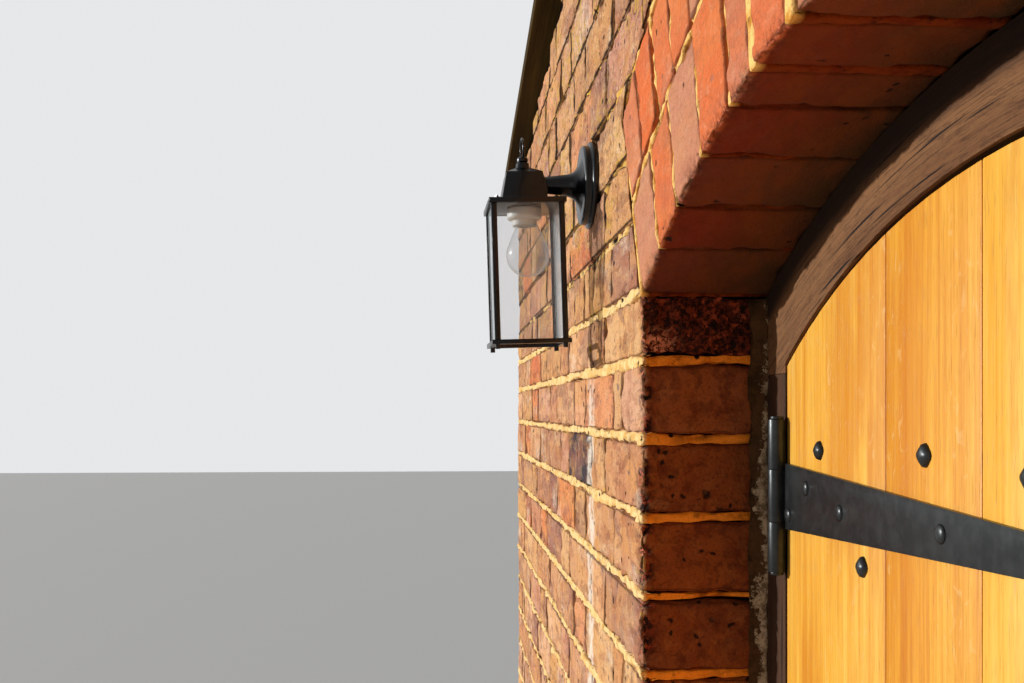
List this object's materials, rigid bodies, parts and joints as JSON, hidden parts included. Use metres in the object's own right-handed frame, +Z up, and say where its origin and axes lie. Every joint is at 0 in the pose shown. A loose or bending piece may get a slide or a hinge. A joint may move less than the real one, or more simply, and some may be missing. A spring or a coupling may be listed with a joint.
{
  "type": "arched doorway bay of an oast house",
  "caption": "Brick wall bay with a segmental arch, timber frame, boarded oak door on strap hinges, wall lantern and raked verge.",
  "frame": {"origin": "middle of the doorway on the wall's outer face, at ground level", "axes": "+X along the wall, to the right as seen from outside; +Y into the building; +Z up"},
  "size_m": [4.096, 0.4208, 2.6492],
  "materials": {
    "brick": "old handmade facing brick in lime mortar, rough",
    "arch_brick": "red arch brick, rubbed face, rough",
    "mortar": "lime mortar, sandy",
    "threshold_stone": "worn sandstone",
    "frame_oak": "old dark weathered oak",
    "leaf_oak": "new honey coloured oak, oiled",
    "hinge_iron": "black waxed wrought iron, satin",
    "lantern_metal": "black gloss paint on metal",
    "clear_glass": "clear",
    "lampholder": "pale grey, matt",
    "verge_timber": "brown-black stained softwood",
    "roof_timber": "sawn softwood",
    "roof_lead": "weathered sheet lead, dull grey"
  },
  "bodies": {
    "wall": {"threshold": "threshold_stone", "wall_left": "brick", "wall_right": "brick", "wall_over_door": "brick", "arch_inner_ring": "arch_brick", "arch_outer_ring": "arch_brick", "frame_post_left": "frame_oak", "frame_post_right": "frame_oak", "frame_head": "frame_oak", "mortar_fillets": "mortar", "hinge_plates": "hinge_iron", "hinge_pins": "hinge_iron", "lantern_backplate": "lantern_metal", "lantern_arm": "lantern_metal", "lantern_roof": "lantern_metal", "lantern_ring": "lantern_metal", "lantern_rim": "lantern_metal", "lantern_posts": "lantern_metal", "lantern_base_frame": "lantern_metal", "lantern_glass": "clear_glass", "lantern_lampholder": "lampholder", "lantern_bulb": "clear_glass", "rafter_left": "roof_timber", "rafter_right": "roof_timber", "ridge_board": "roof_timber", "roof_boards_left": "verge_timber", "roof_boards_right": "verge_timber", "roof_lead_left": "roof_lead", "roof_lead_right": "roof_lead"},
    "door": {"door_board_1": "leaf_oak", "door_board_2": "leaf_oak", "door_board_3": "leaf_oak", "door_board_4": "leaf_oak", "door_board_5": "leaf_oak", "ledges": "leaf_oak", "braces": "leaf_oak", "strap_hinges": "hinge_iron", "handle_rose": "hinge_iron", "handle_ring": "hinge_iron"}
  },
  "joints": [
    {"name": "door_hinge", "type": "hinge", "parent": "wall", "child": "door", "pos_m": [-0.4025, 0.1125, 0.97475], "axis": [0, 0, -1], "range_deg": [0, 100]}
  ]
}
